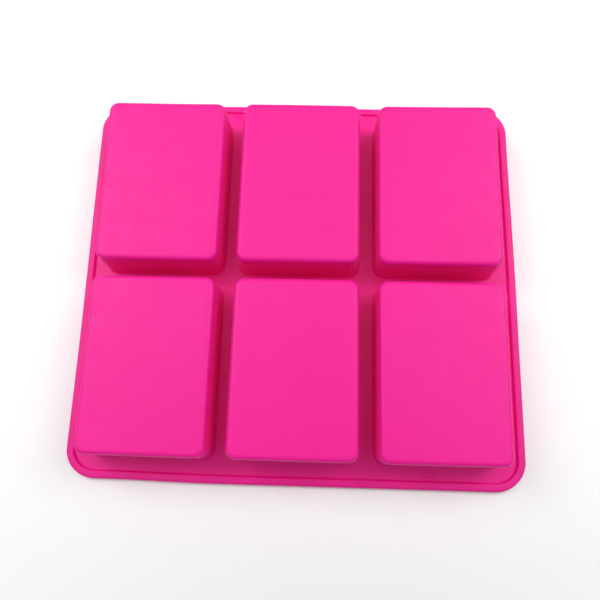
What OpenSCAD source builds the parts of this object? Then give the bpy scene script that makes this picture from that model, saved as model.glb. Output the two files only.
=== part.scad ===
// Six-cavity silicone soap mould, lying on its open side with the closed ends up.
// Origin: centre of the underside. +X runs along the row of three, +Y to the back row.
// Millimetres.

/* [Flange] */
// Overall length, along the row of three cavities
flange_l = 230; // [216:1:270]
// Overall width, across the two rows
flange_w = 208.5; // [198:0.5:240]
// Corner radius of the flange in plan
flange_corner_r = 15.5; // [8:0.5:17]
// Thickness of the flat web between the cavities
deck_t = 2; // [1.2:0.1:2.2]
// Width of the raised bead along the edge
rim_w = 4; // [3:0.5:6]
// Height of the bead above the surface it lies on
rim_h = 3.4; // [3.2:0.1:6]
// Rounding along both top edges of the bead
rim_edge_r = 1.2; // [0.6:0.1:1.4]

/* [Cavities] */
// Width of a cavity at its closed end, along X
bar_w = 58; // [50:0.5:61]
// Length of a cavity at its closed end, along Y
bar_l = 83.5; // [70:0.5:86]
// Depth of a cavity, from the open side to its closed end
bar_h = 25; // [18:0.5:40]
// Thickness of the cavity walls
wall_t = 2; // [1.5:0.1:2.4]
// Thickness of the closed ends
floor_t = 2; // [1.5:0.1:3]
// Lean of the cavity walls, in degrees
draft = 1.5; // [0.5:0.5:3]
// Radius of the upright edges in plan, outside, at the closed end
cup_corner_r = 5; // [4.7:0.1:8]
// Rounding around the closed end, outside
end_edge_r = 2.6; // [2:0.2:4.6]
// Rounding around the closed end, inside, which rounds the edges of the bar
bar_edge_r = 2; // [1:0.2:2.6]

/* [Layout] */
// Distance between cavity centres along X
pitch_x = 71.5; // [68:0.5:76]
// Distance between cavity centres along Y
pitch_y = 96; // [94:0.5:104]

/* [Hidden] */
$fn = 64;
// A cut runs this far past the face that it opens
through = 1;
PINK = [0.96, 0.16, 0.58];

height = bar_h + floor_t;
// Half spacing of the axes of a cup's four upright edges
axis_x = bar_w / 2 + wall_t - cup_corner_r;
axis_y = bar_l / 2 + wall_t - cup_corner_r;
// Radius about such an axis, of the outside of the wall at height z and of its foot in the deck
function wall_r(z) = cup_corner_r + (height - z) * tan(draft);
foot_r = wall_r(deck_t);
// Half spacing of the axes of the flange's corners, and the radius of the deck's edge about them
flange_axis_x = flange_l / 2 - flange_corner_r;
flange_axis_y = flange_w / 2 - flange_corner_r;
deck_corner_r = flange_corner_r - rim_w;

// Quarter of a disc, in the first quadrant
module quarter_disc(r) {
    intersection() {
        circle(r);
        square(r);
    }
}

// Rectangle with corners of radius r about axes at plus and minus ax and ay
module rounded_plate(ax, ay, r) {
    square([2 * (ax + r), 2 * ay], center = true);
    square([2 * ax, 2 * (ay + r)], center = true);
    for (x = [-ax, ax], y = [-ay, ay])
        translate([x, y])
            circle(r);
}

// Carries an upright profile, drawn as radius and height, around a rounded rectangle
module carry_around(ax, ay) {
    for (side = [0:3]) {
        out = side % 2 == 0 ? ax : ay;
        along = side % 2 == 0 ? ay : ax;
        rotate(90 * side) {
            translate([out, 0, 0])
                rotate([90, 0, 0])
                    linear_extrude(2 * along, center = true)
                        children();
            translate([out, along, 0])
                rotate_extrude(angle = 90)
                    children();
        }
    }
}

// Half of a tub seen in section: straight foot, leaning wall inset by t, and a rounded end
module tub_profile(t, bottom, foot_top, top, edge_r) {
    inset = t / cos(draft);
    arc_z = top - edge_r;
    arc_r = wall_r(arc_z) - inset - edge_r / cos(draft);
    polygon([
        [0, bottom],
        [wall_r(foot_top) - inset, bottom],
        [wall_r(foot_top) - inset, foot_top],
        [arc_r + edge_r * cos(draft), arc_z + edge_r * sin(draft)],
        [arc_r, arc_z],
        [arc_r, top],
        [0, top]
    ]);
    translate([arc_r, arc_z])
        quarter_disc(edge_r);
}

module cup_profile() {
    difference() {
        tub_profile(0, 0, deck_t, height, end_edge_r);
        tub_profile(wall_t, -through, 0, bar_h, bar_edge_r);
    }
}

// One cavity: four walls and a closed end. column is -1, 0 or 1 and row is -1 or 1
module cup(column, row) {
    color(PINK)
        translate([column * pitch_x, row * pitch_y / 2, 0]) {
            carry_around(axis_x, axis_y)
                cup_profile();
            translate([-axis_x, -axis_y, bar_h])
                cube([2 * axis_x, 2 * axis_y, floor_t]);
        }
}

module cup_back_left() { cup(-1, 1); }
module cup_back_middle() { cup(0, 1); }
module cup_back_right() { cup(1, 1); }
module cup_front_left() { cup(-1, -1); }
module cup_front_middle() { cup(0, -1); }
module cup_front_right() { cup(1, -1); }

// Flat web that joins the feet of the six cups and reaches out to the bead
module deck() {
    color(PINK)
        linear_extrude(deck_t)
            difference() {
                rounded_plate(flange_axis_x, flange_axis_y, deck_corner_r);
                for (column = [-1:1], row = [-1, 1])
                    translate([column * pitch_x, row * pitch_y / 2])
                        rounded_plate(axis_x, axis_y, foot_r);
            }
}

module rim_profile() {
    translate([deck_corner_r, 0]) {
        square([rim_w, rim_h - rim_edge_r]);
        translate([rim_edge_r, 0])
            square([rim_w - 2 * rim_edge_r, rim_h]);
        for (x = [rim_edge_r, rim_w - rim_edge_r])
            translate([x, rim_h - rim_edge_r])
                circle(rim_edge_r);
    }
}

// Raised bead around the edge of the flange
module rim() {
    color(PINK)
        carry_around(flange_axis_x, flange_axis_y)
            rim_profile();
}

deck();
rim();
cup_back_left();
cup_back_middle();
cup_back_right();
cup_front_left();
cup_front_middle();
cup_front_right();
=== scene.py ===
# Looks of a six-cavity silicone soap mould that lies on its open side. Metres, in the CAD model's frame.
import math

import bmesh
import bpy
from mathutils import Euler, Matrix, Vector, noise
from mathutils.geometry import delaunay_2d_cdt


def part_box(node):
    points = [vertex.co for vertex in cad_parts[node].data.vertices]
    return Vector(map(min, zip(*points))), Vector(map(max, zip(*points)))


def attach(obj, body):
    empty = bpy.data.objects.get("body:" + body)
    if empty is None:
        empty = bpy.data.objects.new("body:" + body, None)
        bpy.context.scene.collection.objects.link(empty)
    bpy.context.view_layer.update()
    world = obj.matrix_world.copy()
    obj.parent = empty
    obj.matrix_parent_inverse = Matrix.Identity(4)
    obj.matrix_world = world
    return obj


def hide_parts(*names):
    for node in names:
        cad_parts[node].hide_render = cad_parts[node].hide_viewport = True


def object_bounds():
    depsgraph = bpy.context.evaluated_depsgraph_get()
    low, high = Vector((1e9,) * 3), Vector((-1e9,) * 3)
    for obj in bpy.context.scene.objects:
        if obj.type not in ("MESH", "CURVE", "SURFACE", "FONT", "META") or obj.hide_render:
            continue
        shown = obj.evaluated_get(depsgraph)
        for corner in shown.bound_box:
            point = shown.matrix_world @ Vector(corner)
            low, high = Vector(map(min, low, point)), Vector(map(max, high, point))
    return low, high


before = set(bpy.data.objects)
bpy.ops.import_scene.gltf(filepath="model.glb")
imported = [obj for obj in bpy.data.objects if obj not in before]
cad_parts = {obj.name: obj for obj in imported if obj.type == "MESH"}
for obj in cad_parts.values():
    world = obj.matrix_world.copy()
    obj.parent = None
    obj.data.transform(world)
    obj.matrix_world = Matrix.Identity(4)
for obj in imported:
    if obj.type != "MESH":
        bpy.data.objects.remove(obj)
cad_low, cad_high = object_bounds()

# ---------------------------------------------------------------- sizes
MM = 0.001
CUPS = [f"cup_{row}_{column}" for row in ("back", "front") for column in ("left", "middle", "right")]

# Radii and wall sizes of the CAD model, which its boxes don't give
CUP_CORNER_R = 5.0 * MM      # upright edges in plan, at the closed end
FLANGE_CORNER_R = 15.5 * MM
WALL_T = 2.0 * MM
FLOOR_T = 2.0 * MM
DRAFT = math.radians(1.5)
END_EDGE_R = 2.6 * MM        # around the closed end, outside
BAR_EDGE_R = 2.0 * MM        # around the closed end, inside

# Small roundings that only the visible surface has
FOOT_FILLET = 1.0 * MM       # where a wall runs into the deck
MOUTH_EDGE_R = 0.7 * MM      # around a cavity's open edge
FOOT_BAND = 0.6 * MM         # flat band outside the fillet, where a cup's surface meets the deck's
RIM_OUTER_R = 1.3 * MM       # bead's outer top edge
RIM_INNER_R = 0.9 * MM       # bead's inner top edge
RIM_FLANK = 65               # slope of the bead's inner flank, in degrees
RIM_CREASE_R = 0.6 * MM      # where the flank runs into the deck
RIM_FOOT_R = 0.4 * MM        # bead's lower edge
SHARP_ANGLE = math.radians(50)

# How finely the surfaces are divided: along x, along y, around each corner
CUP_STEPS = (16, 22, 10)
FLANGE_STEPS = (60, 54, 16)
WALL_STEPS = 8               # down a cup's wall
WEB_SPACING = 3.5 * MM       # between the deck's points
TOUCH = 0.01 * MM            # closer than this is the same height

# Softness of the rubber
SAG = 0.12 * MM              # dip of a closed end at its middle
SWAY = 0.30 * MM             # how far a closed end wanders sideways
WANDER = 0.30 * MM           # how far the flange's edge wanders in, seen from above
RIPPLE = 0.08 * MM           # unevenness of the flat faces
LONG_WAVE = 90 * MM
SHORT_WAVE = 28 * MM
EDGE_SEED = 3.1
SWAY_X_SEED = 4.3
SWAY_Y_SEED = 7.7
RIPPLE_SEED = 5.3
# Where the edge is bowed in: side, place along it from -1 to 1, reach either way, depth
BOWS = (
    ("near", -0.85, 0.50, 0.9 * MM),
    ("far", 0.50, 0.60, 0.8 * MM),
    ("right", 0.85, 0.90, 0.7 * MM),
    ("left", -0.20, 0.90, 0.3 * MM),
)
BOW_START = 0.80             # how far out the bowing begins, as a share of the half size
# One closed end is stretched out at a corner: place, reach, and the move to the left and back
STRETCH_AT = Vector((-101 * MM, 91 * MM))
STRETCH_REACH = 40 * MM
STRETCH = Vector((-0.8 * MM, 0.4 * MM))

rim_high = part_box("rim")[1]
deck_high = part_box("deck")[1]
HALF_L = rim_high.x
HALF_W = rim_high.y
RIM_H = rim_high.z
RIM_W = rim_high.x - deck_high.x
DECK_T = deck_high.z
HEIGHT = cad_high.z
BAR_H = HEIGHT - FLOOR_T


def arc(centre, radius, start, end, steps):
    """Points (radius, height) on an arc of a profile, angles in degrees, ends included."""
    turn = [math.radians(start + (end - start) * i / steps) for i in range(steps + 1)]
    return [(centre[0] + radius * math.cos(a), centre[1] + radius * math.sin(a)) for a in turn]


def line(start, end, steps):
    """Points between two ends of a profile, the ends left out."""
    return [tuple(s + (e - s) * i / steps for s, e in zip(start, end)) for i in range(1, steps)]


# ---------------------------------------------------------------- rounded rectangles
class Outline:
    """Stations around a rectangle with rounded corners: a point of the rectangle and a way out from it."""

    def __init__(self, centre, half_x, half_y, along_x, along_y, around):
        self.centre = Vector((centre[0], centre[1]))
        self.half_x, self.half_y = half_x, half_y
        self.along_x, self.along_y, self.around = along_x, along_y, around
        self.stations = []
        corners = [(half_x, half_y), (-half_x, half_y), (-half_x, -half_y), (half_x, -half_y)]
        for side in range(4):
            before, corner = Vector(corners[side - 1]), Vector(corners[side])
            steps = along_y if side % 2 == 0 else along_x
            out = Vector((math.cos(side * math.pi / 2), math.sin(side * math.pi / 2)))
            self.stations += [(before.lerp(corner, i / steps), out) for i in range(steps)]
            for i in range(around):
                a = (side + i / around) * math.pi / 2
                self.stations.append((corner, Vector((math.cos(a), math.sin(a)))))

    def ring(self, r, z):
        return [Vector((*(self.centre + base + out * r), z)) for base, out in self.stations]


def add_ring(bm, points):
    return [bm.verts.new(p) for p in points]


def join_rings(bm, lower, upper):
    """Quads between two rings that follow each other on the way round a profile."""
    for i in range(len(lower)):
        j = (i + 1) % len(lower)
        bm.faces.new((lower[i], lower[j], upper[j], upper[i]))


def fill_end(bm, outline, ring, z, up):
    """Flat grid inside a ring, with a fan of triangles at each corner."""
    nx, ny, around = outline.along_x, outline.along_y, outline.around
    grid = {}
    for i in range(nx + 1):
        for j in range(ny + 1):
            x = outline.half_x * (2 * i / nx - 1)
            y = outline.half_y * (2 * j / ny - 1)
            grid[i, j] = bm.verts.new((outline.centre.x + x, outline.centre.y + y, z))

    def face(*verts):
        bm.faces.new(verts if up else verts[::-1])

    for i in range(nx):
        for j in range(ny):
            face(grid[i, j], grid[i + 1, j], grid[i + 1, j + 1], grid[i, j + 1])
    sides = [
        [grid[nx, j] for j in range(ny + 1)],
        [grid[nx - i, ny] for i in range(nx + 1)],
        [grid[0, ny - j] for j in range(ny + 1)],
        [grid[i, 0] for i in range(nx + 1)],
    ]
    at = 0
    for edge in sides:
        for k in range(len(edge) - 1):
            face(edge[k], ring[at + k], ring[at + k + 1], edge[k + 1])
        at += len(edge) - 1
        for k in range(around):
            face(edge[-1], ring[at + k], ring[(at + k + 1) % len(ring)])
        at += around


# ---------------------------------------------------------------- softness
def wave(p, length, seed):
    """Smooth noise from -1 to 1 that is the same on every piece."""
    return noise.noise(Vector((p.x / length + seed, p.y / length - seed, seed * 1.7)))


def smooth(start, end, value):
    """Eases from 0 at start to 1 at end."""
    t = min(max((value - start) / (end - start), 0.0), 1.0)
    return t * t * (3 - 2 * t)


def pulled_in(side, p):
    """How far a point is moved in from one side of the flange."""
    u, v = p.x / HALF_L, p.y / HALF_W
    out, along = {"left": (-u, v), "right": (u, v), "near": (-v, u), "far": (v, u)}[side]
    depth = WANDER * (0.5 + 0.5 * wave(p, LONG_WAVE, EDGE_SEED))
    for bowed_side, place, reach, bow in BOWS:
        if bowed_side == side:
            depth += bow * smooth(reach, 0.0, abs(along - place))
    return depth * smooth(BOW_START, 1.0, out)


def soften(p):
    """Where a point of the exact shape lies in the soft moulding. The moulding stays inside the CAD box."""
    height = min(max(p.z / HEIGHT, 0.0), 1.0)
    dx = SWAY * height * wave(p, LONG_WAVE, SWAY_X_SEED) + pulled_in("left", p) - pulled_in("right", p)
    dy = SWAY * height * wave(p, LONG_WAVE, SWAY_Y_SEED) + pulled_in("near", p) - pulled_in("far", p)
    dz = -RIPPLE * height * (0.5 + 0.5 * wave(p, SHORT_WAVE, RIPPLE_SEED))
    stretch = STRETCH * height * smooth(STRETCH_REACH, 0.0, (p.to_2d() - STRETCH_AT).length)
    return Vector((p.x + dx + stretch.x, p.y + dy + stretch.y, p.z + dz))


# ---------------------------------------------------------------- pieces
def mesh_object(bm, name, material):
    """Turns a finished bmesh into an object of the scene."""
    mesh = bpy.data.meshes.new(name)
    bm.to_mesh(mesh)
    bm.free()
    mesh.materials.append(material)
    made = bpy.data.objects.new(name, mesh)
    bpy.context.collection.objects.link(made)
    return made


def finish_piece(bm, name, node, material):
    """Softens the mesh, shades it smooth and lets it stand for its CAD node."""
    bmesh.ops.recalc_face_normals(bm, faces=bm.faces)
    for vert in bm.verts:
        vert.co = soften(vert.co)
    piece = mesh_object(bm, name, material)
    piece.data.polygons.foreach_set("use_smooth", [True] * len(piece.data.polygons))
    piece.data.set_sharp_from_angle(angle=SHARP_ANGLE)
    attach(piece, "root")
    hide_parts(node)


def wall_r(z):
    """Radius of the outside of a cup's upright edge at height z."""
    return CUP_CORNER_R + (HEIGHT - z) * math.tan(DRAFT)


FOOT_R = wall_r(DECK_T)
CUT_R = FOOT_R + FOOT_FILLET + FOOT_BAND
LEAN = math.degrees(DRAFT)


def cup_profile():
    """Section of a cup: down the outside from the closed end, under the deck and up inside the cavity."""
    inset = WALL_T / math.cos(DRAFT)
    end_z = HEIGHT - END_EDGE_R
    end_r = wall_r(end_z) - END_EDGE_R / math.cos(DRAFT)
    floor_z = BAR_H - BAR_EDGE_R
    floor_r = wall_r(floor_z) - inset - BAR_EDGE_R / math.cos(DRAFT)
    fillet = (wall_r(DECK_T + FOOT_FILLET) + FOOT_FILLET / math.cos(DRAFT), DECK_T + FOOT_FILLET)
    mouth = (wall_r(MOUTH_EDGE_R) - inset + MOUTH_EDGE_R / math.cos(DRAFT), MOUTH_EDGE_R)

    outer = arc((end_r, end_z), END_EDGE_R, 90, LEAN, steps=9)
    foot = arc(fillet, FOOT_FILLET, 180 + LEAN, 270, steps=6)
    under = [(CUT_R, DECK_T), (CUT_R, 0.0)]
    lip = arc(mouth, MOUTH_EDGE_R, 270, 180 + LEAN, steps=5)
    inner = arc((floor_r, floor_z), BAR_EDGE_R, LEAN, 90, steps=7)
    return (outer + line(outer[-1], foot[0], WALL_STEPS) + foot + under
            + lip + line(lip[-1], inner[0], WALL_STEPS) + inner)


def cup_outline(node):
    low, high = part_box(node)
    centre = (low + high) / 2
    return Outline(centre, (high.x - low.x) / 2 - FOOT_R, (high.y - low.y) / 2 - FOOT_R, *CUP_STEPS)


def make_cup(node, material):
    outline = cup_outline(node)
    bm = bmesh.new()
    rings = [add_ring(bm, outline.ring(r, z)) for r, z in cup_profile()]
    for upper, lower in zip(rings, rings[1:]):
        join_rings(bm, lower, upper)
    fill_end(bm, outline, rings[0], HEIGHT, up=True)
    fill_end(bm, outline, rings[-1], BAR_H, up=False)
    for vert in bm.verts:
        x = (vert.co.x - outline.centre.x) / (outline.half_x + FOOT_R)
        y = (vert.co.y - outline.centre.y) / (outline.half_y + FOOT_R)
        if vert.co.z > BAR_H - TOUCH:
            vert.co.z -= SAG * max(0.0, 1 - x * x) * max(0.0, 1 - y * y)
    finish_piece(bm, node.replace("cup", "cavity"), node, material)


FLANGE = Outline((0, 0), HALF_L - FLANGE_CORNER_R, HALF_W - FLANGE_CORNER_R, *FLANGE_STEPS)
# The flank rises over this run, which is centred on the edge of the CAD model's bead
FLANK_SIN, FLANK_COS = math.sin(math.radians(RIM_FLANK)), math.cos(math.radians(RIM_FLANK))
FLANK_STRAIGHT = (RIM_H - DECK_T - (RIM_INNER_R + RIM_CREASE_R) * (1 - FLANK_COS)) / FLANK_SIN
FLANK_RUN = (RIM_INNER_R + RIM_CREASE_R) * FLANK_SIN + FLANK_STRAIGHT * FLANK_COS
DECK_EDGE_R = FLANGE_CORNER_R - RIM_W - FLANK_RUN / 2 - FOOT_BAND


def inside(outline, p, r):
    """Whether a point lies inside an outline at radius r."""
    x = abs(p.x - outline.centre.x) - outline.half_x
    y = abs(p.y - outline.centre.y) - outline.half_y
    if x < 0 and y < 0:
        return True
    return math.hypot(max(x, 0.0), max(y, 0.0)) < r


def make_deck(material):
    """Web between the cups. Its edges lie point for point on those of the cups and the rim."""
    margin = 0.5 * WEB_SPACING
    outlines = [(FLANGE, DECK_EDGE_R)] + [(cup_outline(node), CUT_R) for node in CUPS]
    points, edges = [], []
    for outline, r in outlines:
        first = len(points)
        ring = [p.to_2d() for p in outline.ring(r, 0)]
        points += ring
        edges += [(first + i, first + (i + 1) % len(ring)) for i in range(len(ring))]
    columns, rows = int(HALF_L / WEB_SPACING), int(HALF_W / WEB_SPACING)
    for i in range(-columns, columns + 1):
        for j in range(-rows, rows + 1):
            p = Vector(((i + 0.5 * (j % 2)) * WEB_SPACING, j * WEB_SPACING))
            clear = inside(FLANGE, p, DECK_EDGE_R - margin)
            if clear and not any(inside(o, p, r + margin) for o, r in outlines[1:]):
                points.append(p)
    verts, _, faces, *_ = delaunay_2d_cdt(points, edges, [], 0, 1e-7)

    def in_web(face):
        middle = sum((verts[i] for i in face), Vector((0, 0))) / len(face)
        return inside(FLANGE, middle, DECK_EDGE_R) and not any(
            inside(o, middle, r) for o, r in outlines[1:])

    bm = bmesh.new()
    top = [bm.verts.new((v.x, v.y, DECK_T)) for v in verts]
    bottom = [bm.verts.new((v.x, v.y, 0.0)) for v in verts]
    web = [face for face in faces if in_web(face)]
    for face in web:
        bm.faces.new([top[i] for i in face])
        bm.faces.new([bottom[i] for i in reversed(face)])
    border = [e for e in bm.edges if len(e.link_faces) == 1 and e.verts[0].co.z > 0]
    pair = dict(zip(top, bottom))
    for edge in border:
        a, b = edge.verts
        bm.faces.new((a, b, pair[b], pair[a]))
    bmesh.ops.delete(bm, geom=[v for v in bm.verts if not v.link_faces], context="VERTS")
    finish_piece(bm, "deck_web", "deck", material)


def rim_profile():
    """Closed section of the bead, as radius about the flange's corner axes and height."""
    outer_r = FLANGE_CORNER_R
    inner_r = FLANGE_CORNER_R - RIM_W
    top_in = (inner_r + FLANK_RUN / 2, RIM_H - RIM_INNER_R)
    top_out = (outer_r - RIM_OUTER_R, RIM_H - RIM_OUTER_R)
    crease = (inner_r - FLANK_RUN / 2, DECK_T + RIM_CREASE_R)
    foot = (outer_r - RIM_FOOT_R, RIM_FOOT_R)
    return ([(DECK_EDGE_R, 0.0)]
            + line((DECK_EDGE_R, 0.0), (foot[0], 0.0), steps=3)
            + arc(foot, RIM_FOOT_R, -90, 0, steps=4)
            + arc(top_out, RIM_OUTER_R, 0, 90, steps=7)
            + line((top_out[0], RIM_H), (top_in[0], RIM_H), steps=2)
            + arc(top_in, RIM_INNER_R, 90, 90 + RIM_FLANK, steps=6)
            + arc(crease, RIM_CREASE_R, 270 + RIM_FLANK, 270, steps=5)
            + [(DECK_EDGE_R, DECK_T)])


def make_rim(material):
    bm = bmesh.new()
    rings = [add_ring(bm, FLANGE.ring(r, z)) for r, z in rim_profile()]
    for lower, upper in zip(rings, rings[1:] + rings[:1]):
        join_rings(bm, lower, upper)
    finish_piece(bm, "rim_bead", "rim", material)


# ---------------------------------------------------------------- materials
def node_tree(name):
    material = bpy.data.materials.new(name)
    material.use_nodes = True
    nodes, links = material.node_tree.nodes, material.node_tree.links
    shader = nodes["Principled BSDF"]
    place = nodes.new("ShaderNodeTexCoord").outputs["Object"]
    return material, nodes, links, shader, place


def noise_node(nodes, links, place, scale, detail):
    texture = nodes.new("ShaderNodeTexNoise")
    texture.inputs["Scale"].default_value = scale
    texture.inputs["Detail"].default_value = detail
    links.new(place, texture.inputs["Vector"])
    return texture.outputs["Fac"]


def spread(nodes, links, value, low, high, to_low, to_high):
    """Maps the stretch of a value from low to high onto another range."""
    remap = nodes.new("ShaderNodeMapRange")
    remap.inputs["From Min"].default_value = low
    remap.inputs["From Max"].default_value = high
    remap.inputs["To Min"].default_value = to_low
    remap.inputs["To Max"].default_value = to_high
    links.new(value, remap.inputs["Value"])
    return remap.outputs["Result"]


def blend_colour(nodes, links, factor, a, b):
    mix = nodes.new("ShaderNodeMix")
    mix.data_type = "RGBA"
    links.new(factor, mix.inputs["Factor"])
    for socket, colour in ((mix.inputs["A"], a), (mix.inputs["B"], b)):
        if isinstance(colour, tuple):
            socket.default_value = (*colour, 1)
        else:
            links.new(colour, socket)
    return mix.outputs["Result"]


PINK = (0.900, 0.003, 0.300)
PINK_DEEP = (0.870, 0.003, 0.286)
DUST = (0.90, 0.30, 0.50)
DUST_COVER = 0.25            # how much a speck hides the pink
SILICONE_IOR = 1.40
ROUGHNESS = (0.44, 0.54)
SHEEN = 0.05
SHEEN_ROUGHNESS = 0.5
SHEEN_TINT = (1.0, 0.45, 0.70)
GRAIN_STRENGTH = 0.15
GRAIN_DEPTH = 0.05 * MM
TABLE_WHITES = (0.955, 0.955, 0.96), (0.97, 0.97, 0.97)
TABLE_ROUGHNESS = 0.6
CARD_GREYS = (0.10, 0.10, 0.10), (0.14, 0.14, 0.14)
CARD_ROUGHNESS = 0.9
# Noises: scale per metre, and detail
CLOUDS = (22, 3)
SPECKS = (900, 1)
SHINE_PATCHES = (120, 4)
GRAIN = (2600, 2)
TABLE_CLOUDS = (6, 2)
CARD_CLOUDS = (12, 2)
# Stretches of a noise's value that are spread out: most of it, and its rare peaks
MOST = (0.3, 0.7)
PEAKS = (0.80, 0.84)


def silicone():
    """Matt pink silicone: cloudy pigment, a fine blasted grain, and a few specks of dust."""
    material, nodes, links, shader, place = node_tree("pink_silicone")
    cloud = spread(nodes, links, noise_node(nodes, links, place, *CLOUDS), *MOST, 0, 1)
    colour = blend_colour(nodes, links, cloud, PINK, PINK_DEEP)
    speck = spread(nodes, links, noise_node(nodes, links, place, *SPECKS), *PEAKS, 0, DUST_COVER)
    colour = blend_colour(nodes, links, speck, colour, DUST)
    links.new(colour, shader.inputs["Base Color"])
    rough = spread(nodes, links, noise_node(nodes, links, place, *SHINE_PATCHES), *MOST, *ROUGHNESS)
    links.new(rough, shader.inputs["Roughness"])
    shader.inputs["IOR"].default_value = SILICONE_IOR
    shader.inputs["Sheen Weight"].default_value = SHEEN
    shader.inputs["Sheen Roughness"].default_value = SHEEN_ROUGHNESS
    shader.inputs["Sheen Tint"].default_value = (*SHEEN_TINT, 1)
    grain = nodes.new("ShaderNodeBump")
    grain.inputs["Strength"].default_value = GRAIN_STRENGTH
    grain.inputs["Distance"].default_value = GRAIN_DEPTH
    links.new(noise_node(nodes, links, place, *GRAIN), grain.inputs["Height"])
    links.new(grain.outputs["Normal"], shader.inputs["Normal"])
    return material


def table_top():
    """Plain white table."""
    material, nodes, links, shader, place = node_tree("white_table")
    cloud = noise_node(nodes, links, place, *TABLE_CLOUDS)
    links.new(blend_colour(nodes, links, cloud, *TABLE_WHITES), shader.inputs["Base Color"])
    shader.inputs["Roughness"].default_value = TABLE_ROUGHNESS
    return material


def dark_card():
    """Grey cloth of the cards that shade the near side."""
    material, nodes, links, shader, place = node_tree("dark_card")
    cloud = noise_node(nodes, links, place, *CARD_CLOUDS)
    links.new(blend_colour(nodes, links, cloud, *CARD_GREYS), shader.inputs["Base Color"])
    shader.inputs["Roughness"].default_value = CARD_ROUGHNESS
    return material


# ---------------------------------------------------------------- stage
TABLE_HALF = 1.6
TABLE_GAP = 0.05 * MM        # keeps the table clear of the underside
ROOM_FILL = 0.15             # radiance of the room at the horizon
ROOM_CEILING = 1.08          # what the ceiling adds, straight overhead
ROOM_FAR = 0.15              # what the far side adds
CEILING_RAMP = (0.50, 0.95)  # where the ceiling's light begins and is full, as height of a direction
FAR_RAMP = (0.2, 0.9)        # the same for the far side
BACKDROP = 0.80              # what the camera sees of the room behind the table
WINDOW_PLACE = (0.58, 0.27, 0.67)
WINDOW_SIZE = 0.5
WINDOW_POWER = 3.0
# Dark cards in the place of the person who leans over the near side: width, depth, place, tilt in degrees
PERSON = (0.24, 0.22, (0.04, -0.25, 0.26), -42)
HEAD = (0.20, 0.20, (0.02, -0.12, 0.46), 0)
# Camera over the near side of the mould, looking almost straight down
CAMERA_PLACE = (10.96 * MM, -83.18 * MM, 311.96 * MM)
CAMERA_TURN = (13.43, 1.45, 1.58)
CAMERA_LENS = 36
CAMERA_SENSOR = 36
CAMERA_CLIP = 0.01


def add_floor():
    bm = bmesh.new()
    bmesh.ops.create_grid(bm, x_segments=8, y_segments=8, size=TABLE_HALF)
    table = mesh_object(bm, "table", table_top())
    table.location.z = cad_low.z - TABLE_GAP


def add_window(name, place):
    """Soft box that faces the mould."""
    light = bpy.data.lights.new(name, "AREA")
    light.shape = "RECTANGLE"
    light.size = WINDOW_SIZE
    light.size_y = WINDOW_SIZE
    light.energy = WINDOW_POWER
    box = bpy.data.objects.new(name, light)
    box.location = place
    box.rotation_euler = (-Vector(place)).to_track_quat("-Z", "Y").to_euler()
    bpy.context.collection.objects.link(box)


def add_card(name, width, depth, place, tilt):
    """Dark card, unseen by the camera, that keeps some of the room's light off the mould and the table."""
    bm = bmesh.new()
    corners = ((-1, -1), (1, -1), (1, 1), (-1, 1))
    bm.faces.new([bm.verts.new((x * width / 2, y * depth / 2, 0)) for x, y in corners])
    card = mesh_object(bm, name, dark_card())
    card.location = place
    card.rotation_euler.x = math.radians(tilt)
    card.visible_camera = False


def add_room():
    """Dim room with a bright ceiling and a light far side. The camera sees a pale backdrop in its place."""
    world = bpy.data.worlds.new("room")
    world.use_nodes = True
    nodes, links = world.node_tree.nodes, world.node_tree.links
    background = nodes["Background"]
    background.inputs["Color"].default_value = (1.0, 1.0, 1.0, 1)
    axes = nodes.new("ShaderNodeSeparateXYZ")
    links.new(nodes.new("ShaderNodeTexCoord").outputs["Generated"], axes.inputs["Vector"])
    strength = nodes.new("ShaderNodeMath")
    strength.operation = "ADD"
    ceiling = spread(nodes, links, axes.outputs["Z"], *CEILING_RAMP, ROOM_FILL, ROOM_FILL + ROOM_CEILING)
    far = spread(nodes, links, axes.outputs["Y"], *FAR_RAMP, 0, ROOM_FAR)
    links.new(ceiling, strength.inputs[0])
    links.new(far, strength.inputs[1])
    seen = nodes.new("ShaderNodeMix")
    links.new(nodes.new("ShaderNodeLightPath").outputs["Is Camera Ray"], seen.inputs["Factor"])
    links.new(strength.outputs["Value"], seen.inputs["A"])
    seen.inputs["B"].default_value = BACKDROP
    links.new(seen.outputs["Result"], background.inputs["Strength"])
    bpy.context.scene.world = world


def add_lights():
    add_room()
    add_card("person_card", *PERSON)
    add_card("head_card", *HEAD)
    x, y, z = WINDOW_PLACE
    add_window("window_left", (-x, y, z))
    add_window("window_right", (x, y, z))


def add_camera():
    camera = bpy.data.cameras.new("camera")
    camera.sensor_width = CAMERA_SENSOR
    camera.lens = CAMERA_LENS
    camera.clip_start = CAMERA_CLIP
    view = bpy.data.objects.new("camera", camera)
    view.location = CAMERA_PLACE
    view.rotation_euler = Euler([math.radians(a) for a in CAMERA_TURN])
    bpy.context.collection.objects.link(view)
    bpy.context.scene.camera = view


# ---------------------------------------------------------------- making
pink = silicone()
for cup in CUPS:
    make_cup(cup, pink)
make_deck(pink)
make_rim(pink)
add_floor()
add_lights()
add_camera()
bpy.context.scene.view_settings.view_transform = "Standard"
